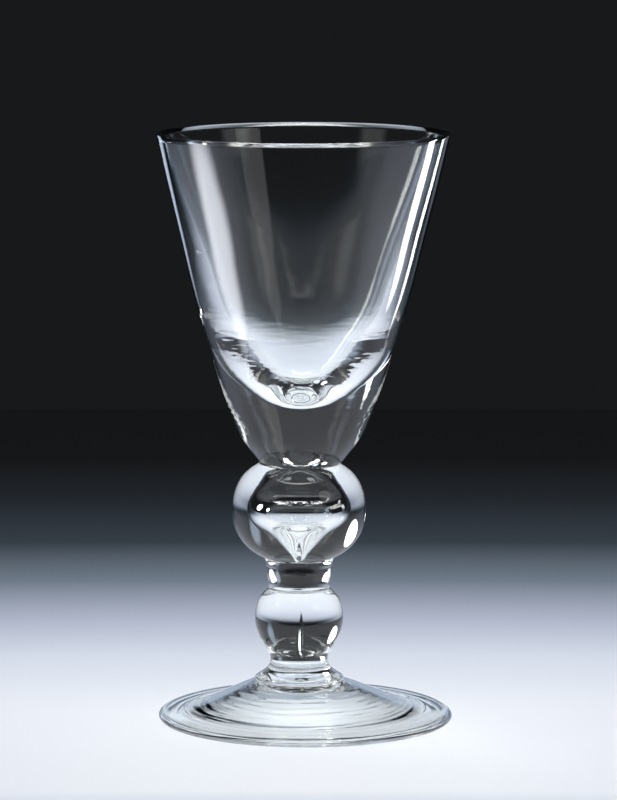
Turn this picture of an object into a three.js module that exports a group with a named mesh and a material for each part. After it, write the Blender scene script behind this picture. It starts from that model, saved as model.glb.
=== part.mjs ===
// Heavy baluster drinking glass, free-blown in colourless lead glass.
// Millimetres, +Z up. The origin is the centre of the foot's resting plane.
// Each gather of glass is a solid of its own, sealed hot to the next one on a flat seam.
import * as THREE from "three";

// Foot: a hollow cone of sheet glass whose rim is turned under into a band.
const FOOT_RADIUS = 40.6;
const FOOT_EDGE_HEIGHT = 1.6;
const FOOT_EDGE_WIDTH = 1.6;
const FOOT_WIDEST_HEIGHT = 0.5;
const FOOT_SHEET = 2.4;
const CONE_HEIGHT = 10.8;
const CONE_STRAIGHT_RADIUS = 25;
const CONE_STRAIGHT_HEIGHT = 5.4;
const FOLD_WIDTH = 8.2;
const FOLD_THICKNESS = 1.4;
const FOLD_ROUNDING = 0.8;
const SCAR_RADIUS = 6;
const SCAR_HEIGHT = 0.6;

// Foot collar: a tooled disc on the cone, drawn up into the waist of the stem.
const DISC_RADIUS = 12.3;
const DISC_EDGE = 1;
const WAIST_RADIUS = 7.95;
const WAIST_CURVE_HEIGHT = 2;
const FOOT_COLLAR_HEIGHT = 6;

// Lower knop: a small ball that tapers to the waist, with a spindle-shaped air tear.
const LOWER_KNOP_RADIUS = 12.2;
const LOWER_KNOP_HEIGHT = 19.4;
const LOWER_KNOP_WIDEST = 11.8;
const LOWER_KNOP_CORE = 3;
const LOWER_KNOP_TAPER_RADIUS = 8.6;
const LOWER_KNOP_TAPER_HEIGHT = 4;
const LOWER_KNOP_SWELL_HEIGHT = 6.5;
const LOWER_TEAR_BELLY_RADIUS = 0.85;
const LOWER_TEAR_TOP = 12.5;
const LOWER_TEAR_FOOT = 1.7;

// Neck collar: a short neck with a wider ring above and a narrower one below.
const NECK_BOTTOM_RADIUS = 8.4;
const NECK_TOP_RADIUS = 9.6;
const NECK_RING_STEP = 0.35;
const NECK_RING_HEIGHT = 3.5;
const NECK_HEIGHT = 8.8;

// Upper knop: a wide cushion round a broad air tear, domed above and drawn to a point below.
const UPPER_KNOP_RADIUS = 18.4;
const UPPER_KNOP_HEIGHT = 26.1;
const UPPER_KNOP_WIDEST = 12.6;
const UPPER_KNOP_CORE = 5;
const UPPER_TEAR_RADIUS = 10.2;
const UPPER_TEAR_TOP = 17.3;
const UPPER_TEAR_WIDEST = 13;
const UPPER_TEAR_POINT = 5.2;
const UPPER_TEAR_SHOULDER = 0.95;
const UPPER_TEAR_ROUNDING = 1.8;

// A fine tail joins each tear to the seam below it, where the air was trapped.
const TEAR_TAIL_RADIUS = 0.35;

// Bowl: a round funnel with a thick solid base.
const BOWL_HEIGHT = 90.9;
const BOWL_SEAM_RADIUS = 10.9;
const BASE_RADIUS = 19.8;
const BASE_HEIGHT = 14.9;
const BASE_CURVE_RADIUS = 16.4;
const BASE_CURVE_HEIGHT = 5.7;
const RIM_RADIUS = 40.2;
const LIP_WALL = 2.1;
const WALL_BULGE = 2.4;
const BOWL_DEPTH = 72.3;
const CAVITY_SHOULDER_HEIGHT = 17.5;
const SHOULDER_WALL = 7.35;
const CAVITY_BULGE = 1.3;
const FUNNEL_HEIGHT = 7.3;
const FUNNEL_INSET = 3.45;
const FLOOR_RADIUS = 7;

// Hand-made offsets along X: the stem stands off the foot's centre and the bowl leans back.
const STEM_OFFSET = -1.9;
const BOWL_OFFSET = -1.35;
const RIM_OFFSET = -0.6;

// Steps round each piece, and points along each curved stretch of an outline.
const SEGMENTS = 40;
const LONG_CURVE = 7;
const SHORT_CURVE = 5;
const EDGE_CURVE = 3;

// The seams, stacked up from the resting plane.
const FOOT_SEAM = CONE_HEIGHT;
const WAIST_SEAM = FOOT_SEAM + FOOT_COLLAR_HEIGHT;
const LOWER_NECK_SEAM = WAIST_SEAM + LOWER_KNOP_HEIGHT;
const UPPER_NECK_SEAM = LOWER_NECK_SEAM + NECK_HEIGHT;
const BOWL_SEAM = UPPER_NECK_SEAM + UPPER_KNOP_HEIGHT;
const RIM_TOP = BOWL_SEAM + BOWL_HEIGHT;

const mix = (from, to, share) => from + (to - from) * share;

// Adds the points of a curve to an outline, leaving out the first one, which is there already.
function follow(outline, curve, steps) {
  outline.push(...curve.getPoints(steps).slice(1));
}

function bend(from, control, to) {
  return new THREE.QuadraticBezierCurve(from, control, to);
}

// A nearly straight wall, whose control point stands `out` beyond the middle between its ends.
function bulged(from, to, out) {
  const control = from.clone().lerp(to, 0.5).add(new THREE.Vector2(out, 0));
  return bend(from, control, to);
}

// Quarter of an ellipse about (core, level), through the widest radius and a seam.
function quarter(core, level, widest, seamRadius, seamLevel) {
  const angle = Math.acos((seamRadius - core) / (widest - core));
  const height = Math.abs(seamLevel - level) / Math.sin(angle);
  const rising = seamLevel > level;
  const start = rising ? 0 : -angle;
  const end = rising ? angle : 0;
  return new THREE.EllipseCurve(core, level, widest - core, height, start, end);
}

// Turns an outline about Z, and shifts it along X from `low` at its base to `high` at its top.
function turned(name, outline, colour, low, high) {
  const geometry = new THREE.LatheGeometry(outline, SEGMENTS);
  geometry.rotateX(Math.PI / 2);
  const levels = outline.map((point) => point.y);
  const bottom = Math.min(...levels);
  const top = Math.max(...levels);
  const position = geometry.attributes.position;
  for (let i = 0; i < position.count; i += 1) {
    const share = (position.getZ(i) - bottom) / (top - bottom);
    position.setX(i, position.getX(i) + mix(low, high, share));
  }
  const material = new THREE.MeshStandardMaterial({
    color: colour,
    roughness: 0.03,
    metalness: 0,
    transparent: true,
    opacity: 0.4,
  });
  const mesh = new THREE.Mesh(geometry, material);
  mesh.name = name;
  return mesh;
}

function foot() {
  const foldInner = FOOT_RADIUS - FOLD_WIDTH;
  const slope = (CONE_HEIGHT - CONE_STRAIGHT_HEIGHT) / (CONE_STRAIGHT_RADIUS - DISC_RADIUS);
  const topEdge = new THREE.Vector2(FOOT_RADIUS - FOOT_EDGE_WIDTH, FOOT_EDGE_HEIGHT);
  const straightEnd = new THREE.Vector2(CONE_STRAIGHT_RADIUS, CONE_STRAIGHT_HEIGHT);
  const flare = (topEdge.x - straightEnd.x) / 2;
  const flareControl = new THREE.Vector2(straightEnd.x + flare, straightEnd.y - slope * flare);
  const ceiling = CONE_HEIGHT - FOOT_SHEET;
  const outline = [
    new THREE.Vector2(0, ceiling - SCAR_HEIGHT),
    new THREE.Vector2(SCAR_RADIUS, ceiling - SCAR_HEIGHT),
    new THREE.Vector2(SCAR_RADIUS + SCAR_HEIGHT, ceiling),
    new THREE.Vector2(DISC_RADIUS, ceiling),
  ];
  const underside = bend(
    new THREE.Vector2(DISC_RADIUS, ceiling),
    new THREE.Vector2(CONE_STRAIGHT_RADIUS, CONE_STRAIGHT_HEIGHT - FOOT_SHEET),
    new THREE.Vector2(foldInner, FOLD_THICKNESS),
  );
  follow(outline, underside, SHORT_CURVE);
  outline.push(new THREE.Vector2(foldInner, FOLD_ROUNDING));
  outline.push(new THREE.Vector2(foldInner + FOLD_ROUNDING, 0));
  const heel = new THREE.Vector2(FOOT_RADIUS - FOLD_ROUNDING, 0);
  outline.push(heel);
  const toe = new THREE.Vector2(FOOT_RADIUS, FOOT_WIDEST_HEIGHT);
  follow(outline, bend(heel, new THREE.Vector2(FOOT_RADIUS, 0), toe), EDGE_CURVE);
  follow(outline, bend(toe, new THREE.Vector2(FOOT_RADIUS, mix(toe.y, topEdge.y, 0.5)), topEdge), EDGE_CURVE);
  follow(outline, bend(topEdge, flareControl, straightEnd), SHORT_CURVE);
  outline.push(new THREE.Vector2(DISC_RADIUS, CONE_HEIGHT));
  outline.push(new THREE.Vector2(0, CONE_HEIGHT));
  return turned("foot", outline, 0xe4ebea, 0, STEM_OFFSET);
}

function footCollar() {
  const edge = new THREE.Vector2(DISC_RADIUS, FOOT_SEAM);
  const lipTop = new THREE.Vector2(DISC_RADIUS, FOOT_SEAM + DISC_EDGE);
  const waist = new THREE.Vector2(WAIST_RADIUS, WAIST_SEAM);
  const flareControl = new THREE.Vector2(WAIST_RADIUS, FOOT_SEAM + WAIST_CURVE_HEIGHT);
  const outline = [new THREE.Vector2(0, FOOT_SEAM), edge, lipTop];
  follow(outline, bend(lipTop, flareControl, waist), SHORT_CURVE);
  outline.push(new THREE.Vector2(0, WAIST_SEAM));
  return turned("foot_collar", outline, 0xe8eeec, STEM_OFFSET, STEM_OFFSET);
}

function lowerKnop() {
  const widestLevel = WAIST_SEAM + LOWER_KNOP_WIDEST;
  const tearTop = WAIST_SEAM + LOWER_TEAR_TOP;
  const tail = new THREE.Vector2(TEAR_TAIL_RADIUS, WAIST_SEAM + LOWER_TEAR_FOOT);
  const belly = new THREE.Vector2(LOWER_TEAR_BELLY_RADIUS, mix(tail.y, tearTop, 0.5));
  const outline = [new THREE.Vector2(0, tearTop)];
  follow(outline, bend(outline[0], belly, tail), LONG_CURVE);
  outline.push(new THREE.Vector2(TEAR_TAIL_RADIUS, WAIST_SEAM));
  const waist = new THREE.Vector2(WAIST_RADIUS, WAIST_SEAM);
  const widest = new THREE.Vector2(LOWER_KNOP_RADIUS, widestLevel);
  const hollow = new THREE.Vector2(LOWER_KNOP_TAPER_RADIUS, WAIST_SEAM + LOWER_KNOP_TAPER_HEIGHT);
  const swell = new THREE.Vector2(LOWER_KNOP_RADIUS, WAIST_SEAM + LOWER_KNOP_SWELL_HEIGHT);
  outline.push(waist);
  follow(outline, new THREE.CubicBezierCurve(waist, hollow, swell, widest), LONG_CURVE);
  const dome = quarter(
    LOWER_KNOP_CORE,
    widestLevel,
    LOWER_KNOP_RADIUS,
    NECK_BOTTOM_RADIUS,
    LOWER_NECK_SEAM,
  );
  follow(outline, dome, SHORT_CURVE);
  outline.push(new THREE.Vector2(0, LOWER_NECK_SEAM));
  return turned("lower_knop", outline, 0xdde4e4, STEM_OFFSET, STEM_OFFSET);
}

function neckCollar() {
  const middle = LOWER_NECK_SEAM + NECK_RING_HEIGHT;
  const narrow = NECK_BOTTOM_RADIUS + NECK_RING_STEP / 2;
  const wide = narrow + NECK_RING_STEP;
  const shoulder = UPPER_NECK_SEAM - NECK_RING_STEP * 2;
  const outline = [
    new THREE.Vector2(0, LOWER_NECK_SEAM),
    new THREE.Vector2(NECK_BOTTOM_RADIUS, LOWER_NECK_SEAM),
    new THREE.Vector2(narrow, middle - NECK_RING_STEP),
    new THREE.Vector2(wide, middle + NECK_RING_STEP),
    new THREE.Vector2(mix(wide, NECK_TOP_RADIUS, 0.5), shoulder),
    new THREE.Vector2(NECK_TOP_RADIUS, UPPER_NECK_SEAM),
    new THREE.Vector2(0, UPPER_NECK_SEAM),
  ];
  return turned("neck_collar", outline, 0xdce2e2, STEM_OFFSET, STEM_OFFSET);
}

function upperKnop() {
  const widestLevel = UPPER_NECK_SEAM + UPPER_KNOP_WIDEST;
  const tearTop = UPPER_NECK_SEAM + UPPER_TEAR_TOP;
  const tearRim = new THREE.Vector2(UPPER_TEAR_RADIUS, UPPER_NECK_SEAM + UPPER_TEAR_WIDEST);
  const shoulder = new THREE.Vector2(UPPER_TEAR_RADIUS - UPPER_TEAR_SHOULDER, tearTop);
  const under = new THREE.Vector2(UPPER_TEAR_RADIUS, tearRim.y - UPPER_TEAR_ROUNDING);
  const tail = new THREE.Vector2(TEAR_TAIL_RADIUS, UPPER_NECK_SEAM + UPPER_TEAR_POINT);
  const outline = [new THREE.Vector2(0, tearTop)];
  follow(outline, bend(outline[0], shoulder, tearRim), SHORT_CURVE);
  follow(outline, bend(tearRim, under, tail), SHORT_CURVE);
  outline.push(new THREE.Vector2(TEAR_TAIL_RADIUS, UPPER_NECK_SEAM));
  outline.push(new THREE.Vector2(NECK_TOP_RADIUS, UPPER_NECK_SEAM));
  const lower = quarter(
    UPPER_KNOP_CORE,
    widestLevel,
    UPPER_KNOP_RADIUS,
    NECK_TOP_RADIUS,
    UPPER_NECK_SEAM,
  );
  const upper = quarter(
    UPPER_KNOP_CORE,
    widestLevel,
    UPPER_KNOP_RADIUS,
    BOWL_SEAM_RADIUS,
    BOWL_SEAM,
  );
  follow(outline, lower, LONG_CURVE);
  follow(outline, upper, LONG_CURVE);
  outline.push(new THREE.Vector2(0, BOWL_SEAM));
  return turned("upper_knop", outline, 0xdfe5e5, STEM_OFFSET, STEM_OFFSET);
}

function bowl() {
  const lipRounding = LIP_WALL / 2;
  const lipLevel = RIM_TOP - lipRounding;
  const base = new THREE.Vector2(BASE_RADIUS, BOWL_SEAM + BASE_HEIGHT);
  const outerLip = new THREE.Vector2(RIM_RADIUS, lipLevel);
  const innerLip = new THREE.Vector2(RIM_RADIUS - LIP_WALL, lipLevel);
  const baseControl = new THREE.Vector2(BASE_CURVE_RADIUS, BOWL_SEAM + BASE_CURVE_HEIGHT);
  const wall = bulged(base, outerLip, WALL_BULGE);
  const seam = new THREE.Vector2(BOWL_SEAM_RADIUS, BOWL_SEAM);
  const outline = [new THREE.Vector2(0, BOWL_SEAM), seam];
  follow(outline, bend(seam, baseControl, base), SHORT_CURVE);
  follow(outline, wall, LONG_CURVE);
  const lip = new THREE.EllipseCurve(
    RIM_RADIUS - lipRounding,
    lipLevel,
    lipRounding,
    lipRounding,
    0,
    Math.PI,
  );
  follow(outline, lip, EDGE_CURVE * 2);
  const floor = new THREE.Vector2(0, RIM_TOP - BOWL_DEPTH);
  const shoulderLevel = floor.y + CAVITY_SHOULDER_HEIGHT;
  const shoulder = new THREE.Vector2(wallRadiusAt(wall, shoulderLevel) - SHOULDER_WALL, shoulderLevel);
  follow(outline, bulged(innerLip, shoulder, CAVITY_BULGE), LONG_CURVE);
  const funnel = new THREE.Vector2(shoulder.x - FUNNEL_INSET, floor.y + FUNNEL_HEIGHT);
  const cup = new THREE.Vector2(FLOOR_RADIUS, floor.y);
  follow(outline, new THREE.CubicBezierCurve(shoulder, funnel, cup, floor), LONG_CURVE);
  return turned("bowl", outline, 0xdde5e6, BOWL_OFFSET, RIM_OFFSET);
}

// Radius of the outer wall at a level, found by halving the curve's parameter.
function wallRadiusAt(wall, level) {
  let low = 0;
  let high = 1;
  for (let step = 0; step < 30; step += 1) {
    const middle = (low + high) / 2;
    if (wall.getPoint(middle).y < level) {
      low = middle;
    } else {
      high = middle;
    }
  }
  return wall.getPoint(low).x;
}

const glass = new THREE.Group();
glass.name = "baluster_glass";
glass.add(foot(), footCollar(), lowerKnop(), neckCollar(), upperKnop(), bowl());

export default glass;
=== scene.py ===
# %% [markdown]
# # A baluster drinking glass
# The glass is free-blown from clear lead glass: a funnel bowl on a solid base, a wide knop with an
# air tear, a short neck, a small knop with a thin tear, and a conical foot with a folded rim. All
# that one sees of it is light that its skin bent or mirrored, so the shape of that skin, inside and
# out, and what stands round the glass matter more than any colour.

# %% Load the solids
import bpy
import math
import numpy as np
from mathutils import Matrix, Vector


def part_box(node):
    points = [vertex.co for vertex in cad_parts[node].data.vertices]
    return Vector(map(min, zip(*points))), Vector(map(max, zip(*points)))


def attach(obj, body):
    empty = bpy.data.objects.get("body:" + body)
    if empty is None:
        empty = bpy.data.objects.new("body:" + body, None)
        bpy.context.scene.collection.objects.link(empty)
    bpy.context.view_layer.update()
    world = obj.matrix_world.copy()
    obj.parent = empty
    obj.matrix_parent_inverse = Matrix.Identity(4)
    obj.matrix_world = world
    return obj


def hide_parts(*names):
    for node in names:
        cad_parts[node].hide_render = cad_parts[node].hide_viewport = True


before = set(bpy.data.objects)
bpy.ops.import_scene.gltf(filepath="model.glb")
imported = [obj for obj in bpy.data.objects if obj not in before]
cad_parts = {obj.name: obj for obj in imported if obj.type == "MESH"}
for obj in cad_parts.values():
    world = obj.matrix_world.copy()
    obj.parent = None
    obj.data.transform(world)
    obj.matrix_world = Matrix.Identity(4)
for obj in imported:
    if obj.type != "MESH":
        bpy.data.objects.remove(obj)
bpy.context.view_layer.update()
MM = 0.001

# %% [markdown]
# ## The camera
# The glass was photographed from a little above its rim with a long lens. The heights of the three
# ellipses (rim, crease under the bowl, foot) give the camera's height and distance.

# %% Camera
CAMERA_DISTANCE = 1.175
CAMERA_HEIGHT = 0.2483
CAMERA_PITCH = math.radians(7.74)
CAMERA_SIDE = 0.7 * MM
CAMERA_LENS = 194.6
CAMERA_SENSOR = 36

camera_data = bpy.data.cameras.new("camera")
camera_data.lens = CAMERA_LENS
camera_data.sensor_width = CAMERA_SENSOR
camera_data.clip_start = 0.05
camera_data.clip_end = 40
camera = bpy.data.objects.new("camera", camera_data)
camera.location = (CAMERA_SIDE, -CAMERA_DISTANCE, CAMERA_HEIGHT)
camera.rotation_euler = (math.pi / 2 - CAMERA_PITCH, 0, 0)
bpy.context.scene.collection.objects.link(camera)
bpy.context.scene.camera = camera
bpy.context.scene.view_settings.view_transform = "Standard"
print("the view is", round(CAMERA_DISTANCE * CAMERA_SENSOR / CAMERA_LENS, 3), "m high at the glass")

# %% [markdown]
# ## Nodes and colours
# A node is added with its settings and links in one call, so that a tree reads from top to bottom
# like a recipe. Colours are written as the hex values one would pick, and are turned to the
# linear values that a renderer adds up.

# %% Node and colour helpers
def add(tree, kind, inputs=None, **settings):
    """Adds a node. An input is given by name or number, as a value, a socket or a node."""
    node = tree.nodes.new(kind)
    for name, value in settings.items():
        setattr(node, name, value)
    for key, value in (inputs or {}).items():
        if isinstance(value, bpy.types.Node):
            value = value.outputs[0]
        if isinstance(value, bpy.types.NodeSocket):
            tree.links.new(value, node.inputs[key])
        else:
            node.inputs[key].default_value = value
    return node


def colour(code):
    """A hex colour as linear red, green and blue, with an alpha of one."""
    parts = [int(code[i:i + 2], 16) / 255 for i in (0, 2, 4)]
    return (*[p / 12.92 if p <= 0.04045 else ((p + 0.055) / 1.055) ** 2.4 for p in parts], 1.0)


def new_material(name):
    """An empty material: the material, its tree and its output node."""
    material = bpy.data.materials.new(name)
    material.use_nodes = True
    tree = material.node_tree
    tree.nodes.clear()
    return material, tree, tree.nodes.new("ShaderNodeOutputMaterial")


print("middle grey is", [round(v, 3) for v in colour("808080")])

# %% [markdown]
# ## Glass
# Clear lead glass bends light more than window glass and is hardly tinted. Its skin is melted smooth
# in the fire, so it has no roughness at all and every highlight keeps a hard edge. Shadow rays pass
# it almost undimmed, because thin clear glass throws only a faint shadow. Two pieces of glass that
# were sealed hot are one glass at the seam, so the flat seam faces let every ray through unbent.

# %% Glass skins
GLASS_IOR = 1.57
GLASS_TINT = "fbfdfc"
SHADOW_TINT = "fcfdfd"


def glass_skin():
    material, tree, output = new_material("fire-polished lead glass")
    glass = add(tree, "ShaderNodeBsdfPrincipled", {
        "Base Color": colour(GLASS_TINT),
        "Roughness": 0.0,
        "IOR": GLASS_IOR,
        "Transmission Weight": 1.0,
    })
    passed = add(tree, "ShaderNodeBsdfTransparent", {"Color": colour(SHADOW_TINT)})
    path = add(tree, "ShaderNodeLightPath")
    skin = add(tree, "ShaderNodeMixShader", {0: path.outputs["Is Shadow Ray"], 1: glass, 2: passed})
    tree.links.new(skin.outputs[0], output.inputs["Surface"])
    return material


def seam_skin():
    material, tree, output = new_material("fused seam")
    passed = add(tree, "ShaderNodeBsdfTransparent")
    tree.links.new(passed.outputs[0], output.inputs["Surface"])
    return material


CLEAR_GLASS = glass_skin()
FUSED_SEAM = seam_skin()
print("skins:", CLEAR_GLASS.name, "and", FUSED_SEAM.name)

# %% [markdown]
# ## The lathe
# Geometry Nodes turn an outline into a piece. A grid with one row for each outline point is wrapped
# round the axis. Fine rings, left by the turning against a tool, push the skin in and out along the
# outline's normal; they follow the outline's run and break up a little round the axis. Then a slow
# noise field swells the skin by less than a tenth of a millimetre, as breath and tools do. That field
# depends on place only, so two pieces still meet at their seam. Last, the piece is shifted sideways,
# since the stem of the real glass stands a little beside the middle of its foot.

# %% Turning tree
LATHE_SOCKETS = {
    "Outline": "NodeSocketGeometry",
    "Steps round": "NodeSocketInt",
    "Low level": "NodeSocketFloat",
    "High level": "NodeSocketFloat",
    "Shift at low level": "NodeSocketFloat",
    "Shift at high level": "NodeSocketFloat",
    "Wave height": "NodeSocketFloat",
    "Waves per metre": "NodeSocketFloat",
    "Rings per metre": "NodeSocketFloat",
    "Ring breaks": "NodeSocketFloat",
    "Skin": "NodeSocketMaterial",
}
RING_GAIN = 4.0
AXIS_GUARD = 4 * MM
MERGE_DISTANCE = 0.002 * MM


def lathe_tree():
    """The tree, and the identifier of each of its inputs by name."""
    tree = bpy.data.node_groups.new("lathe", "GeometryNodeTree")
    identifiers = {}
    for name, kind in LATHE_SOCKETS.items():
        item = tree.interface.new_socket(name, in_out="INPUT", socket_type=kind)
        identifiers[name] = item.identifier
    tree.interface.new_socket("Piece", in_out="OUTPUT", socket_type="NodeSocketGeometry")
    given = tree.nodes.new("NodeGroupInput").outputs
    outline = given["Outline"]
    position = add(tree, "GeometryNodeInputPosition")

    # the grid: a column for each step round the axis, a row for each point of the outline
    size = add(tree, "GeometryNodeAttributeDomainSize", {"Geometry": outline})
    rows = size.outputs["Point Count"]
    columns = add(tree, "ShaderNodeMath", {0: given["Steps round"], 1: 1.0}, operation="ADD")
    grid = add(tree, "GeometryNodeMeshGrid", {
        "Size X": 1.0, "Size Y": 1.0, "Vertices X": columns, "Vertices Y": rows,
    })
    cell = add(tree, "ShaderNodeSeparateXYZ", {0: position})
    angle = add(tree, "ShaderNodeMapRange", {
        "Value": cell.outputs["X"], "From Min": -0.5, "From Max": 0.5, "To Max": 2 * math.pi,
    }, clamp=False)
    last_row = add(tree, "ShaderNodeMath", {0: rows, 1: 1.0}, operation="SUBTRACT")
    row = add(tree, "ShaderNodeMapRange", {
        "Value": cell.outputs["Y"], "From Min": -0.5, "From Max": 0.5, "To Max": last_row,
    }, clamp=False)
    row = add(tree, "ShaderNodeMath", {0: row}, operation="ROUND")

    # what the outline says at this row and at the rows beside it
    row_before = add(tree, "ShaderNodeMath", {0: row, 1: 1.0}, operation="SUBTRACT")
    row_after = add(tree, "ShaderNodeMath", {0: row, 1: 1.0}, operation="ADD")
    stored = {}
    for name in ("run", "ring height"):
        stored[name] = add(tree, "GeometryNodeInputNamedAttribute", {"Name": name}, data_type="FLOAT")
    readings = {
        "here": ("FLOAT_VECTOR", position, row),
        "before": ("FLOAT_VECTOR", position, row_before),
        "after": ("FLOAT_VECTOR", position, row_after),
        "run": ("FLOAT", stored["run"], row),
        "ring height": ("FLOAT", stored["ring height"], row),
    }
    read = {}
    for name, (kind, value, index) in readings.items():
        read[name] = add(tree, "GeometryNodeSampleIndex", {
            "Geometry": outline, "Value": value, "Index": index,
        }, data_type=kind, clamp=True)

    # fine rings along the run of the outline
    cosine = add(tree, "ShaderNodeMath", {0: angle}, operation="COSINE")
    sine = add(tree, "ShaderNodeMath", {0: angle}, operation="SINE")
    per_metre = given["Rings per metre"]
    breaks = given["Ring breaks"]
    ring_place = add(tree, "ShaderNodeCombineXYZ", {
        "X": add(tree, "ShaderNodeMath", {0: read["run"], 1: per_metre}, operation="MULTIPLY"),
        "Y": add(tree, "ShaderNodeMath", {0: cosine, 1: breaks}, operation="MULTIPLY"),
        "Z": add(tree, "ShaderNodeMath", {0: sine, 1: breaks}, operation="MULTIPLY"),
    })
    ring_noise = add(tree, "ShaderNodeTexNoise", {
        "Vector": ring_place, "Scale": 1.0, "Detail": 1.5, "Roughness": 0.5,
    })
    ring_noise = add(tree, "ShaderNodeMath", {0: ring_noise, 1: 0.5}, operation="SUBTRACT")
    ring_size = add(tree, "ShaderNodeMath", {
        0: read["ring height"], 1: RING_GAIN,
    }, operation="MULTIPLY")
    ring = add(tree, "ShaderNodeMath", {0: ring_noise, 1: ring_size}, operation="MULTIPLY")

    # the ring moves the point along the outline's normal
    along = add(tree, "ShaderNodeVectorMath", {
        0: read["after"], 1: read["before"],
    }, operation="SUBTRACT")
    along = add(tree, "ShaderNodeVectorMath", {0: along}, operation="NORMALIZE")
    along = add(tree, "ShaderNodeSeparateXYZ", {0: along})
    section = add(tree, "ShaderNodeSeparateXYZ", {0: read["here"]})
    outwards = add(tree, "ShaderNodeMath", {0: ring, 1: along.outputs["Z"]}, operation="MULTIPLY")
    downwards = add(tree, "ShaderNodeMath", {0: ring, 1: along.outputs["X"]}, operation="MULTIPLY")
    reach = add(tree, "ShaderNodeMath", {0: section.outputs["X"], 1: outwards}, operation="ADD")
    height = add(tree, "ShaderNodeMath", {
        0: section.outputs["Z"], 1: downwards,
    }, operation="SUBTRACT")

    # round the axis, with a slow swell that depends on place
    across = add(tree, "ShaderNodeMath", {0: reach, 1: cosine}, operation="MULTIPLY")
    deep = add(tree, "ShaderNodeMath", {0: reach, 1: sine}, operation="MULTIPLY")
    even = add(tree, "ShaderNodeCombineXYZ", {"X": across, "Y": deep, "Z": height})
    wave_noise = add(tree, "ShaderNodeTexNoise", {
        "Vector": even, "Scale": given["Waves per metre"], "Detail": 1.0, "Roughness": 0.4,
    })
    wave_noise = add(tree, "ShaderNodeMath", {0: wave_noise, 1: 0.5}, operation="SUBTRACT")
    swell = add(tree, "ShaderNodeMath", {
        0: wave_noise, 1: given["Wave height"],
    }, operation="MULTIPLY")
    guarded = add(tree, "ShaderNodeMath", {0: reach, 1: AXIS_GUARD}, operation="MAXIMUM")
    growth = add(tree, "ShaderNodeMath", {0: swell, 1: guarded}, operation="DIVIDE")
    growth = add(tree, "ShaderNodeMath", {0: growth, 1: 1.0}, operation="ADD")

    # sideways, by a shift that changes evenly from the low to the high level
    shift = add(tree, "ShaderNodeMapRange", {
        "Value": height,
        "From Min": given["Low level"],
        "From Max": given["High level"],
        "To Min": given["Shift at low level"],
        "To Max": given["Shift at high level"],
    }, clamp=False)
    across = add(tree, "ShaderNodeMath", {0: across, 1: growth}, operation="MULTIPLY")
    across = add(tree, "ShaderNodeMath", {0: across, 1: shift}, operation="ADD")
    deep = add(tree, "ShaderNodeMath", {0: deep, 1: growth}, operation="MULTIPLY")
    turned = add(tree, "ShaderNodeCombineXYZ", {"X": across, "Y": deep, "Z": height})
    wrapped = add(tree, "GeometryNodeSetPosition", {"Geometry": grid, "Position": turned})
    closed = add(tree, "GeometryNodeMergeByDistance", {
        "Geometry": wrapped, "Distance": MERGE_DISTANCE,
    })
    smooth = add(tree, "GeometryNodeSetShadeSmooth", {"Geometry": closed, "Shade Smooth": True})
    real = add(tree, "GeometryNodeRealizeInstances", {"Geometry": smooth})
    dressed = add(tree, "GeometryNodeSetMaterial", {"Geometry": real, "Material": given["Skin"]})
    add(tree, "NodeGroupOutput", {0: dressed})
    return tree, identifiers


LATHE, LATHE_INPUTS = lathe_tree()
print("the lathe has", len(LATHE.nodes), "nodes and", len(LATHE_INPUTS), "inputs")

# %% [markdown]
# ## Turning an outline
# The outline goes in as a chain of edges with two stored values for each point: how far along the
# outline it lies, and how high the rings are there. What comes out is kept as a plain mesh.

# %% Turning helper
WAVES_PER_METRE = 60.0


def turned_mesh(name, outline, shifts, span=None, wave=0.0, steps=192, rings=None, spacing=1.4,
                breaks=0.9):
    """Turns an outline, in millimetres, into a plain mesh in metres.

    The shifts hold at the ends of the span, which are the outline's own levels unless given. The
    rings are a function of reach and height; spacing is their distance in millimetres."""
    low, high = span or (outline[:, 1].min(), outline[:, 1].max())
    points = [(reach * MM, 0, height * MM) for reach, height in outline]
    section = bpy.data.meshes.new(name + "_section")
    section.from_pydata(points, [(i, i + 1) for i in range(len(points) - 1)], [])
    run = np.concatenate([[0], np.cumsum(np.hypot(*np.diff(outline, axis=0).T))])
    ring_height = np.zeros(len(outline)) if rings is None else rings(outline[:, 0], outline[:, 1])
    for attribute, stored in (("run", run), ("ring height", ring_height)):
        layer = section.attributes.new(attribute, "FLOAT", "POINT")
        layer.data.foreach_set("value", stored * MM)
    worker = bpy.data.objects.new(name + "_section", section)
    bpy.context.scene.collection.objects.link(worker)
    modifier = worker.modifiers.new("lathe", "NODES")
    modifier.node_group = LATHE
    values = {
        "Steps round": steps,
        "Low level": low * MM,
        "High level": high * MM,
        "Shift at low level": shifts[0] * MM,
        "Shift at high level": shifts[1] * MM,
        "Wave height": wave * MM,
        "Waves per metre": WAVES_PER_METRE,
        "Rings per metre": 1000 / spacing,
        "Ring breaks": breaks,
        "Skin": CLEAR_GLASS,
    }
    for key, value in values.items():
        modifier[LATHE_INPUTS[key]] = value
    evaluated = worker.evaluated_get(bpy.context.evaluated_depsgraph_get())
    mesh = bpy.data.meshes.new_from_object(evaluated)
    mesh.name = name
    mesh.materials.clear()
    mesh.materials.append(CLEAR_GLASS)
    bpy.data.objects.remove(worker)
    bpy.data.meshes.remove(section)
    return mesh


print("from wave to wave it is about", round(1000 / WAVES_PER_METRE), "mm")

# %% [markdown]
# ## From a turned mesh to a piece
# The seam faces are found by their level and get the seam skin. Edges sharper than 50 degrees stay
# sharp, so that the smooth skin isn't shaded round the corner into the seam. A tear is an inner
# surface of its own that is joined into the knop's mesh. The rim and the foot are drawn a few
# hundredths of a millimetre smaller than in the solids, so that the swells stay inside their box.

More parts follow.
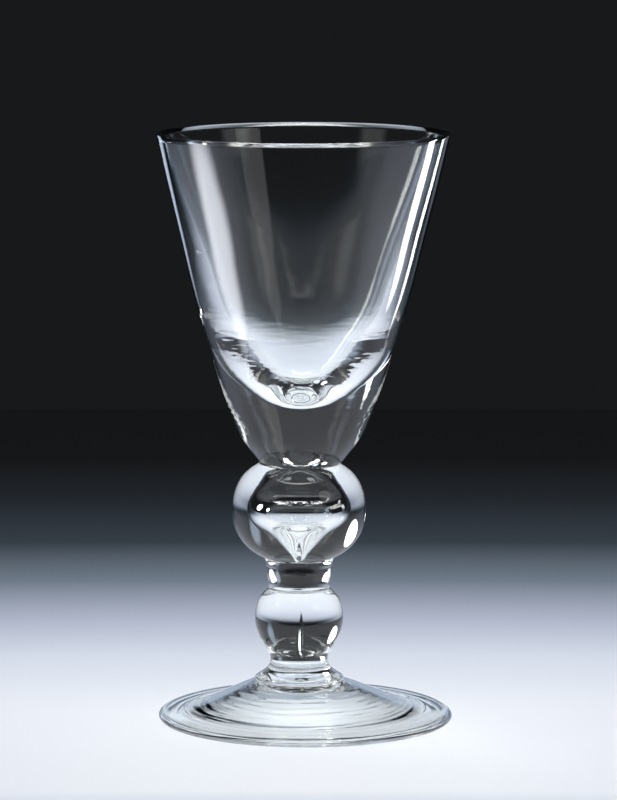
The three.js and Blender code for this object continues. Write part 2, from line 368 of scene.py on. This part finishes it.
# %% Finishing a piece
STEM_SHIFT = -1.9
STEM_SHIFTS = (STEM_SHIFT, STEM_SHIFT)
BOWL_SHIFT = -1.35
RIM_SHIFT = -0.6
WAVE = 0.10
SWELL_ROOM = 0.04
SHARP_ANGLE = math.radians(50)
STEM = ("upper_knop", "neck_collar", "lower_knop", "foot_collar")
PIECES = {}


def finish_piece(name, mesh, seams, tear=None):
    """Makes the object, dresses its seams, adds the tear and swaps it for the solid."""
    mesh.materials.append(FUSED_SEAM)
    for face in mesh.polygons:
        at_seam = any(abs(face.center.z / MM - seam) < 0.01 for seam in seams)
        if at_seam and abs(face.normal.z) > 0.999:
            face.material_index = 1
            face.use_smooth = False
    piece = bpy.data.objects.new(name + "_glass", mesh)
    bpy.context.scene.collection.objects.link(piece)
    if tear:
        inner = bpy.data.objects.new("inner", tear)
        bpy.context.scene.collection.objects.link(inner)
        with bpy.context.temp_override(active_object=piece, selected_editable_objects=[piece, inner]):
            bpy.ops.object.join()
    piece.data.set_sharp_from_angle(angle=SHARP_ANGLE)
    PIECES[name] = piece
    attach(piece, "root")
    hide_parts(name)
    print(name, len(piece.data.polygons), "faces")


print("slow waves of", WAVE, "mm from trough to crest at most")

# %% [markdown]
# ## Levels and radii
# Outlines are drawn in millimetres. The levels of the seams and the widest radii come from the
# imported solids, so that the dressed pieces meet where the solids do.

# %% Reading the frame
def levels(node):
    """The lowest and the highest level of a solid, in millimetres."""
    low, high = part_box(node)
    return low[2] / MM, high[2] / MM


def radius(node):
    """A solid's widest radius, in millimetres, taken along Y, where no piece is off the axis."""
    low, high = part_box(node)
    return (high[1] - low[1]) / 2 / MM


for solid in ("bowl", "upper_knop", "neck_collar", "lower_knop", "foot_collar", "foot"):
    print(solid, "levels", [round(v, 1) for v in levels(solid)], "radius", round(radius(solid), 1))

# %% [markdown]
# ## Outlines
# A turned form is drawn as half of its section. A spline with continuous curvature runs through a
# few points of each stretch: glass shows every kink in its outline as a broken highlight, so
# straight pieces and plain arcs laid end to end would not do.

# %% Outline helpers
def spline(points, spacing=0.45, start=None, end=None):
    """A natural cubic spline through points in millimetres, with optional end directions."""
    points = np.array(points, float)
    chord = np.concatenate([[0], np.cumsum(np.hypot(*np.diff(points, axis=0).T))])
    count = len(points)
    gaps = np.diff(chord)
    slopes = np.diff(points, axis=0) / gaps[:, None]
    matrix = np.zeros((count, count))
    right = np.zeros((count, 2))
    for i in range(1, count - 1):
        matrix[i, i - 1:i + 2] = gaps[i - 1], 2 * (gaps[i - 1] + gaps[i]), gaps[i]
        right[i] = 6 * (slopes[i] - slopes[i - 1])
    matrix[0, 0] = matrix[-1, -1] = 1
    if start is not None:
        matrix[0, :2] = 2 * gaps[0], gaps[0]
        right[0] = 6 * (slopes[0] - np.array(start, float) / np.hypot(*start))
    if end is not None:
        matrix[-1, -2:] = gaps[-1], 2 * gaps[-1]
        right[-1] = 6 * (np.array(end, float) / np.hypot(*end) - slopes[-1])
    bend = np.linalg.solve(matrix, right)
    samples = np.linspace(0, chord[-1], max(3, round(chord[-1] / spacing)) + 1)
    k = np.clip(np.searchsorted(chord, samples, side="right") - 1, 0, count - 2)
    gap = gaps[k][:, None]
    before = (samples - chord[k])[:, None]
    after = (chord[k + 1] - samples)[:, None]
    curve = (bend[k] * after ** 3 + bend[k + 1] * before ** 3) / (6 * gap)
    curve += (points[k] / gap - bend[k] * gap / 6) * after
    curve += (points[k + 1] / gap - bend[k + 1] * gap / 6) * before
    return curve


def arc(centre, size, start, end, steps):
    """Points on an arc, by angles in degrees from the outward direction."""
    angles = np.radians(np.linspace(start, end, steps + 1))
    return np.array(centre) + size * np.stack([np.cos(angles), np.sin(angles)], 1)


def above(base, *points):
    """Points given by their reach from the axis and their height above a level."""
    return [(reach, base + height) for reach, height in points]


def joined(*stretches):
    """Joins stretches, leaving out points that repeat the one before."""
    outline = []
    for stretch in stretches:
        for point in np.atleast_2d(stretch):
            if not outline or np.hypot(*(point - outline[-1])) > 1e-4:
                outline.append(np.array(point, float))
    return np.array(outline)


print("a spline through three points has", len(spline([(0, 0), (3, 1), (4, 4)])), "points")

# %% [markdown]
# ## Rings
# How high the turning rings are depends on the level, since some places were worked more than
# others. Each band fades in and out softly, and none reaches the axis, where the skin has to close.

# %% Ring helper
def ring_bands(*bands):
    """Ring heights that follow the level: each band is (low, high, fade, height), in millimetres."""
    def heights(reach, height):
        total = np.zeros(len(height))
        for low, high, fade, amount in bands:
            rise = np.clip((height - low) / fade, 0, 1) * np.clip((high - height) / fade, 0, 1)
            total = total + amount * rise * rise * (3 - 2 * rise)
        return total * np.clip(reach - 1, 0, 1)
    return heights


sample = ring_bands((0, 10, 2, 1))(np.array([5, 5, 5]), np.array([0, 1, 5]))
print("a band's rings at its edge, near it and inside:", sample)

# %% [markdown]
# ## Bowl
# The wall is about two millimetres thick at the lip and runs into a solid base, where the inner
# surface ends in a rounded tip. The lip is melted round outside and slopes down inwards. The rings
# are clear on the base and faint on the wall. On the inner surface they are clear only in a band
# above the tip, and a sloping line tells its points there from those of the outer surface.

# %% Bowl
LIP_WALL = 2.1
LIP_ROUND = 0.5
LIP_INNER_ROUND = 0.35
LIP_INNER_DROP = 1.2
LIP_SLOPE = 125
INNER_SLOPE = 0.55
INNER_START = 0.9
INNER_TOP = 46.9


def bowl_piece():
    seam, top = levels("bowl")
    rim = radius("bowl") - SWELL_ROOM
    outer = spline(above(
        seam, (10.9, 0), (13.3, 3.0), (16.4, 7.3), (19.0, 13.0), (21.8, 20.5), (25.1, 31.3),
        (29.3, 45.1), (33.1, 60.5), (36.9, 76.0), (rim, top - seam - LIP_ROUND),
    ))
    round_centre = (rim - LIP_ROUND, top - LIP_ROUND)
    inner_centre = (rim - LIP_WALL + LIP_INNER_ROUND, top - LIP_INNER_DROP)
    lip = joined(arc(round_centre, LIP_ROUND, 0, LIP_SLOPE, 10),
                 arc(inner_centre, LIP_INNER_ROUND, LIP_SLOPE, 180, 6))
    inner = spline(above(
        seam, (rim - LIP_WALL, top - seam - 1.25), (33.9, 76.0), (28.3, 60.5), (24.3, 49.5),
        (22.4, 44.4), (20.4, 39.9), (18.0, 35.5), (15.4, 31.2), (12.8, 27.4), (9.1, 23.2),
        (4.7, 19.8), (0, 18.6),
    ), 0.35, end=(-1, 0))
    outer_rings = ring_bands((seam, seam + 28, 2, 0.015), (seam + 28, seam + 48, 5, 0.005),
                             (seam + 40, top, 3, 0.0012))
    inner_rings = ring_bands((seam + 24.9, seam + 50.9, 6, 0.010))

    def rings(reach, height):
        inside = reach < INNER_SLOPE * (height - seam - INNER_START)
        inside = inside & (height < seam + INNER_TOP)
        return np.where(inside, inner_rings(reach, height), outer_rings(reach, height))

    mesh = turned_mesh("bowl", joined((0, seam), outer, lip, inner), (BOWL_SHIFT, RIM_SHIFT),
                       wave=WAVE, rings=rings, spacing=0.9, breaks=2.5)
    finish_piece("bowl", mesh, [seam])


bowl_piece()

# %% [markdown]
# ## Upper knop
# The knop holds a broad air tear, which is domed above and drawn to a point below.

# %% Upper knop
def upper_knop_piece():
    low, top = levels("upper_knop")
    widest = radius("upper_knop")
    outer = spline(above(
        low, (9.6, 0), (12.9, 1.9), (15.6, 4.5), (17.5, 7.8), (widest, 12.6), (18.0, 17.0),
        (16.6, 20.9), (14.1, 24.0), (10.9, top - low),
    ), 0.35)
    tear = spline(above(
        low, (0, 16.9), (2.0, 16.9), (4.5, 16.8), (6.6, 16.4), (8.1, 15.5), (8.9, 14.2),
        (9.1, 12.8), (8.7, 11.4), (7.6, 10.15), (6.0, 9.05), (4.2, 8.0), (2.6, 7.1), (1.3, 6.3),
        (0.5, 5.6), (0, 5.0),
    ), 0.2, start=(1, 0))
    mesh = turned_mesh("upper_knop", joined((0, low), outer, (0, top)), STEM_SHIFTS, wave=WAVE,
                       rings=ring_bands((low, low + 12, 1.5, 0.002), (low + 12, top, 1.5, 0.006)))
    tear_mesh = turned_mesh("upper_tear", tear, STEM_SHIFTS, steps=128)
    finish_piece("upper_knop", mesh, [low, top], tear_mesh)


upper_knop_piece()

# %% [markdown]
# ## Neck
# The neck joins the knops and widens a little towards its upper end.

# %% Neck
def neck_collar_piece():
    low, top = levels("neck_collar")
    outer = spline(above(
        low, (8.4, 0), (8.45, 1.2), (8.65, 3.0), (9.0, 4.3), (9.15, 5.8), (9.3, 7.8),
        (9.6, top - low),
    ), 0.3)
    mesh = turned_mesh("neck_collar", joined((0, low), outer, (0, top)), STEM_SHIFTS, wave=WAVE,
                       rings=ring_bands((low, top, 1, 0.004)), spacing=0.8)
    finish_piece("neck_collar", mesh, [low, top])


neck_collar_piece()

# %% [markdown]
# ## Lower knop
# The small knop tapers downwards. Its tear is a thin spindle that leans a little.

# %% Lower knop
def lower_knop_piece():
    low, top = levels("lower_knop")
    widest = radius("lower_knop")
    outer = spline(above(
        low, (7.95, 0), (8.3, 1.3), (9.2, 3.1), (10.5, 5.2), (11.6, 7.7), (widest, 11.6),
        (11.8, 14.4), (10.6, 17.3), (8.4, top - low),
    ), 0.3)
    tear = spline(above(low, (0, 12.5), (0.3, 10.5), (0.5, 7), (0.35, 3.5), (0, 1.7)), 0.2)
    rings = ring_bands((low, low + 6, 1.5, 0.012), (low + 5, top, 2, 0.001))
    mesh = turned_mesh("lower_knop", joined((0, low), outer, (0, top)), STEM_SHIFTS, wave=WAVE,
                       rings=rings, spacing=1.0)
    tear_mesh = turned_mesh("lower_tear", tear, (STEM_SHIFT + 0.5, STEM_SHIFT + 0.35), steps=48)
    finish_piece("lower_knop", mesh, [low, top], tear_mesh)


lower_knop_piece()

# %% [markdown]
# ## Foot collar
# The stem ends in a waist and a small disc with a rounded edge, where it was pressed on to the foot.
# The tool left the deepest rings of the whole glass here.

# %% Foot collar
def foot_collar_piece():
    low, top = levels("foot_collar")
    disc = radius("foot_collar")
    edge = arc((disc - 0.45, low + 0.55), 0.45, -80, 60, 6)
    waist = spline(above(
        low, (disc - 0.25, 0.94), (10.6, 1.9), (9.1, 3.0), (8.2, 4.4), (7.95, top - low),
    ), 0.25)
    outline = joined((0, low), (disc - 0.4, low), edge, waist, (0, top))
    mesh = turned_mesh("foot_collar", outline, STEM_SHIFTS, wave=WAVE,
                       rings=ring_bands((low, top, 0.8, 0.03)), spacing=0.9)
    finish_piece("foot_collar", mesh, [low, top])


foot_collar_piece()

# %% [markdown]
# ## Foot
# The foot is a hollow cone with a scar in its middle, where the iron was broken off. Its rim is
# folded under into a thicker band. The band is round outside, and its underside rises a little
# towards its inner edge.

# %% Foot
FOLD_WIDTH = 8.2


def foot_piece():
    top = levels("foot")[1]
    edge = radius("foot") - SWELL_ROOM
    fold = edge - FOLD_WIDTH
    upper = spline([
        (radius("foot_collar") - 0.4, top), (16.0, 9.25), (20.5, 7.3), (25.0, 5.4), (30.0, 3.6),
        (34.0, 2.65), (36.8, 2.5), (38.6, 2.35),
    ], 0.4)
    rim = spline([(38.6, 2.35), (39.9, 1.9), (edge, 1.05), (40.2, 0.3), (39.5, 0.0)], 0.12,
                 start=(1, -0.15), end=(-1, 0))
    folded = spline([
        (39.5, 0.0), (38.4, 0.15), (fold + 1.7, 0.95), (fold + 0.8, 1.15), (fold + 0.2, 1.45),
    ], 0.3, start=(-1, 0.03))
    under = spline([
        (fold + 0.2, 1.45), (31.0, 1.75), (28.5, 2.3), (24.5, 3.5), (19.0, 5.6), (14.0, 7.5),
        (10.0, 8.4), (7.0, 8.5),
    ], 0.5)
    scar = spline([(7.0, 8.5), (6.0, 8.2), (4.5, 7.9), (2.5, 7.85), (0, 7.9)], 0.5, end=(-1, 0))
    outline = joined(scar[::-1], under[::-1], folded[::-1], rim[::-1], upper[::-1], (0, top))
    mesh = turned_mesh("foot", outline, (0.0, STEM_SHIFT), (0.0, top), wave=WAVE,
                       rings=ring_bands((0.6, top - 0.1, 1.0, 0.026)), spacing=1.0, breaks=1.5)
    finish_piece("foot", mesh, [top])


foot_piece()

# %% [markdown]
# ## Floor
# Clear glass shows what stands round it, so the backdrop is part of its look. The glass stands on a
# board whose colour paints a pool of light: pale round the glass, falling off into dark grey behind
# it, and more slowly to the sides, as painted fall-off of light. The painted light also fades in
# front of the glass, and faster there.

# %% Floor
# painted light: the floor's colour runs from pale at the glass to dark grey far off, in place of the
# lamps' fall-off
FLOOR_STOPS = ((0, "eef1f7"), (89, "d4dbe8"), (145, "b1b8cb"), (216, "707b89"), (290, "373f47"),
               (380, "24292f"), (480, "18191a"))
FLOOR_REACH = 480
FLOOR_SIDE_SHARE = 0.33
FLOOR_FRONT_START = 90
FLOOR_FRONT_SHARE = 5.0
FLOOR_EASE_START = 110
FLOOR_EASE_END = 300
FLOOR_EASE_SHARE = 0.5
FLOOR_CORNERS = 96
FLOOR_BACK_EDGE = 1.3
FLOOR_FRONT_EDGE = 0.8
FLOOR_DROP = 0.02


def floor_material():
    """A painted pool of light on the board: its shade follows a distance that counts little to the
    sides.
    """
    material, tree, output = new_material("floor with a painted pool of light")
    coords = add(tree, "ShaderNodeTexCoord")
    place = add(tree, "ShaderNodeSeparateXYZ", {0: coords.outputs["Object"]})
    in_front = add(tree, "ShaderNodeMath", {
        0: -FLOOR_FRONT_START * MM, 1: place.outputs["Y"],
    }, operation="SUBTRACT")
    in_front = add(tree, "ShaderNodeMath", {0: in_front, 1: FLOOR_FRONT_SHARE}, operation="MULTIPLY")
    in_front = add(tree, "ShaderNodeMath", {0: in_front, 1: 0.0}, operation="MAXIMUM")
    depth = add(tree, "ShaderNodeMath", {0: place.outputs["Y"], 1: in_front}, operation="MAXIMUM")
    aside = add(tree, "ShaderNodeMath", {0: place.outputs["X"]}, operation="ABSOLUTE")
    easing = add(tree, "ShaderNodeMapRange", {
        "Value": aside, "From Min": FLOOR_EASE_START * MM, "From Max": FLOOR_EASE_END * MM,
        "To Min": 1.0, "To Max": FLOOR_EASE_SHARE,
    }, interpolation_type="SMOOTHSTEP")
    depth = add(tree, "ShaderNodeMath", {0: depth, 1: easing}, operation="MULTIPLY")
    sideways = add(tree, "ShaderNodeMath", {
        0: place.outputs["X"], 1: FLOOR_SIDE_SHARE,
    }, operation="MULTIPLY")
    bent = add(tree, "ShaderNodeCombineXYZ", {"X": sideways, "Y": depth})
    distance = add(tree, "ShaderNodeVectorMath", {0: bent}, operation="LENGTH")
    share = add(tree, "ShaderNodeMath", {
        0: distance.outputs["Value"], 1: FLOOR_REACH * MM,
    }, operation="DIVIDE")
    # the ramp paints the pool of light: pale at the glass, dark where the light would have fallen off
    ramp = add(tree, "ShaderNodeValToRGB", {0: share})
    stops = ramp.color_ramp.elements
    for i, (away, code) in enumerate(FLOOR_STOPS):
        stop = stops[i] if i < 2 else stops.new(away / FLOOR_REACH)
        stop.position = away / FLOOR_REACH
        stop.color = colour(code)
    paint = add(tree, "ShaderNodeBsdfDiffuse", {"Color": ramp})
    tree.links.new(paint.outputs[0], output.inputs["Surface"])
    return material


def floor():
    """A board with a rounded outline, wider than deep."""
    reach = FLOOR_REACH * MM
    ring = []
    for angle in np.linspace(0, 2 * math.pi, FLOOR_CORNERS + 1)[:-1]:
        share = FLOOR_BACK_EDGE if math.sin(angle) > 0 else FLOOR_FRONT_EDGE
        ring.append((reach / FLOOR_SIDE_SHARE * math.cos(angle), reach * share * math.sin(angle), 0))
    mesh = bpy.data.meshes.new("floor")
    mesh.from_pydata(ring, [], [range(FLOOR_CORNERS)])
    mesh.materials.append(floor_material())
    board = bpy.data.objects.new("floor", mesh)
    board.location.z = -FLOOR_DROP * MM
    bpy.context.scene.collection.objects.link(board)


floor()
print("the floor goes from", FLOOR_STOPS[0][1], "to", FLOOR_STOPS[-1][1], "over", FLOOR_REACH, "mm")

# %% [markdown]
# ## A soft lamp
# Every lamp is an elliptical area lamp whose glow fades towards its edge, and none shows itself to
# the camera. Only the first one lights the floor directly; the others reach it by way of the glass.
# A lamp can be kept from being mirrored or from being seen through the glass, and it can be linked
# to single pieces: then only a ray that was bent or mirrored last by one of those pieces meets it.
# So each highlight can be set where the photo has it, without changing the others.

# %% Lamp helpers
def softbox(name, place, aim, size, strength, tint="ffffff", lights_floor=False, mirrored=True,
            through=True, edge=0.3, only=(), roll=0):
    """An area lamp whose face shines with the given strength, whatever its size."""
    lamp = bpy.data.lights.new(name, "AREA")
    lamp.shape = "ELLIPSE"
    lamp.size, lamp.size_y = size
    lamp.energy = strength * math.pi * size[0] * size[1]
    lamp.color = colour(tint)[:3]
    lamp.use_nodes = True
    tree = lamp.node_tree
    tree.nodes.clear()
    on_face = add(tree, "ShaderNodeNewGeometry").outputs["Parametric"]
    from_middle = add(tree, "ShaderNodeVectorMath", {
        0: on_face, 1: (0.5, 0.5, 0.0),
    }, operation="DISTANCE")
    glow = add(tree, "ShaderNodeMapRange", {
        "Value": from_middle.outputs["Value"], "From Min": 0.5, "From Max": 0.5 - edge,
    }, interpolation_type="SMOOTHSTEP")
    shine = add(tree, "ShaderNodeEmission", {"Color": colour("ffffff"), "Strength": glow})
    add(tree, "ShaderNodeOutputLight", {"Surface": shine})
    box = bpy.data.objects.new(name, lamp)
    box.location = place
    box.rotation_euler = (Vector(aim) - Vector(place)).to_track_quat("-Z", "Y").to_euler()
    box.rotation_euler.rotate_axis("Z", math.radians(roll))
    box.visible_camera = False
    box.visible_diffuse = lights_floor
    box.visible_glossy = mirrored
    box.visible_transmission = through
    if only:
        lit = bpy.data.collections.new(name + " receivers")
        for piece in only:
            lit.objects.link(PIECES[piece])
        box.light_linking.receiver_collection = lit
    bpy.context.scene.collection.objects.link(box)


def round_the_glass(azimuth, distance, height):
    """A place at an azimuth counted from the camera's side, positive to the right."""
    a = math.radians(azimuth)
    return (distance * math.sin(a), -distance * math.cos(a), height)


print("behind on the right, a metre away:", [round(v, 2) for v in round_the_glass(135, 1.0, 0.3)])

# %% [markdown]
# ## Lamps above
# A wide softbox lights the floor, and isn't seen in the glass itself. Two smaller lamps under it
# are seen only through the bowl and the stem. They show as small bright marks in the knops and in
# the bowl's base, and as a bright line in the lip.

# %% Lamps above
OVERHEAD_SIZE = (1.3, 1.3)
OVERHEAD_STRENGTH = 3.95
SIDES = ((-1, "left"), (1, "right"))

softbox("overhead softbox", (0, 0.1, 1.3), (0, 0, 0), OVERHEAD_SIZE, OVERHEAD_STRENGTH,
        lights_floor=True, mirrored=False, through=False, edge=0.01)
for side, side_name in SIDES:
    softbox("overhead lamp " + side_name, (side * 0.4, 0.1, 1.15), (0, 0, 0.1), (0.7, 0.3), 4,
            mirrored=False, edge=0.1, only=("bowl", *STEM))
print("the overhead softbox is", OVERHEAD_SIZE[0], "m wide")

# %% [markdown]
# ## Lamps at the sides
# A softbox behind on the left is seen through the stem, as bright marks on its right. A narrower,
# dimmer card in the same place gives the bowl a thin line on the right. Three strips close to the
# bowl are mirrored as the long bright lines on its sides. They lean with the wall.

# %% Lamps at the sides
softbox("left back softbox", round_the_glass(-132, 0.9, 0.30), (0, 0, 0.12), (0.32, 0.44), 26,
        mirrored=False, only=STEM)
softbox("left far card", round_the_glass(-132, 0.9, 0.30), (0, 0, 0.12), (0.2, 0.44), 5,
        mirrored=False, only=("bowl", "foot"))
softbox("left low strip", (-0.17, -0.033, 0.062), (0, -0.033, 0.062), (0.085, 0.17), 8, "eef1fa",
        through=False, only=("bowl",), roll=28)
softbox("right low strip", round_the_glass(111, 0.2, 0.085), (0, 0, 0.085), (0.036, 0.14), 11,
        through=False, edge=0.2, only=("bowl",), roll=-25)
softbox("right thin strip", round_the_glass(129, 0.2, 0.085), (0, 0, 0.085), (0.022, 0.14), 7,
        through=False, edge=0.2, only=("bowl",), roll=-25)
print("the left back softbox stands at", [round(v, 2) for v in round_the_glass(-132, 0.9, 0.30)])

# %% [markdown]
# ## Lamps that are only mirrored
# The stem mirrors the overhead softbox. That image comes from a lamp of the same size a centimetre
# higher, because of two lamps in one place only one is seen. A narrow lamp further back is mirrored
# as a bright line in the far side of the lip.

# %% Lamps that are only mirrored
softbox("overhead gloss", (0, 0.1, 1.31), (0, 0, 0), OVERHEAD_SIZE, OVERHEAD_STRENGTH,
        through=False, edge=0.05, only=STEM)
softbox("overhead gloss on the lip", (0, 0.365, 1.32), (0, 0, 0.16), (1.8, 0.3), 9,
        through=False, edge=0.5, only=("bowl",))

# %% [markdown]
# ## Cards for the base and the collar
# Two faint cards lie one above the other on the floor, under and behind the glass. They lift the
# part of the floor that shows in the bowl and in the knops. A card at each side gives the bowl's
# base its white edge on the other side, and its wall dim streaks. A wide card behind the glass
# whitens the foot collar.

# %% Cards for the base and the collar
FLOOR_CARD_BACK = 0.11
FLOOR_CARD_SIZE = (0.4, 0.4)
FLOOR_CARD_TINT = "f4f6ff"

softbox("floor card", (0, FLOOR_CARD_BACK, 0.001), (0, FLOOR_CARD_BACK, 1), FLOOR_CARD_SIZE, 0.38,
        FLOOR_CARD_TINT, mirrored=False, edge=0.35, only=("bowl",))
softbox("floor card for the stem", (0, FLOOR_CARD_BACK, 0.0015), (0, FLOOR_CARD_BACK, 1),
        FLOOR_CARD_SIZE, 0.2, FLOOR_CARD_TINT, mirrored=False, edge=0.35,
        only=("upper_knop", "lower_knop", "foot_collar"))
for side, side_name in SIDES:
    softbox("base card " + side_name, round_the_glass(side * 62, 0.9, 0.42), (0, 0, 0.09),
            (0.5, 0.4), 0.6, mirrored=False, only=("bowl",))
softbox("collar card", (0, 0.9, 0.35), (0, 0, 0.02), (2.2, 0.7), 0.6, "dfe6f0", edge=0.2,
        only=("foot_collar",))
print("a floor card lies", FLOOR_CARD_BACK, "m behind the axis and is", FLOOR_CARD_SIZE[0], "m wide")

# %% [markdown]
# ## Cards round the glass
# These are dim. One in front on the right shows as pale streaks on the left of the bowl. Two behind
# the glass whiten the edges of the neck, a long low one keeps the foot from showing the dark studio,
# and a small one on each side of the back draws a thin pale line along the edges of the bowl.

# %% Cards round the glass
NECK_CARD_SIZE = (0.5, 0.95)
RIM_CARD_TINT = "c4d4ec"

softbox("right front card", round_the_glass(52, 1.2, 0.75), (0, 0, 0.12), (0.55, 0.7), 0.7, edge=0.1)
softbox("right neck card", round_the_glass(131, 0.9, 0.4), (0, 0, 0.1), NECK_CARD_SIZE, 1.2,
        edge=0.1, only=("neck_collar",))
softbox("left neck card", round_the_glass(-120, 0.9, 0.4), (0, 0, 0.1), NECK_CARD_SIZE, 1.2,
        edge=0.1, only=("neck_collar",))
softbox("foot card", (0, 0.9, 0.1), (0, 0, 0.02), (2.2, 0.36), 0.6, "b4c4da", edge=0.2,
        only=("foot", "foot_collar"))
softbox("left rim card", round_the_glass(-150, 0.42, 0.12), (0, 0, 0.12), (0.12, 0.26), 1.8,
        RIM_CARD_TINT, only=("bowl", "foot"))
softbox("right rim card", round_the_glass(148, 0.42, 0.12), (0, 0, 0.12), (0.1, 0.26), 0.35,
        RIM_CARD_TINT)

# %% [markdown]
# ## Studio and light paths
# The studio round the lamps is nearly black. Light crosses many skins on its way through the stem,
# so a path may be bent and mirrored often before it is given up.

# %% Studio and light paths
world = bpy.data.worlds.new("dark studio")
bpy.context.scene.world = world
world.use_nodes = True
background = world.node_tree.nodes["Background"]
background.inputs["Color"].default_value = colour("18191b")
background.inputs["Strength"].default_value = 1.0

cycles = bpy.context.scene.cycles
cycles.max_bounces = 32
cycles.transmission_bounces = 32
cycles.glossy_bounces = 16
cycles.transparent_max_bounces = 32
print("a path may have", cycles.max_bounces, "bounces")
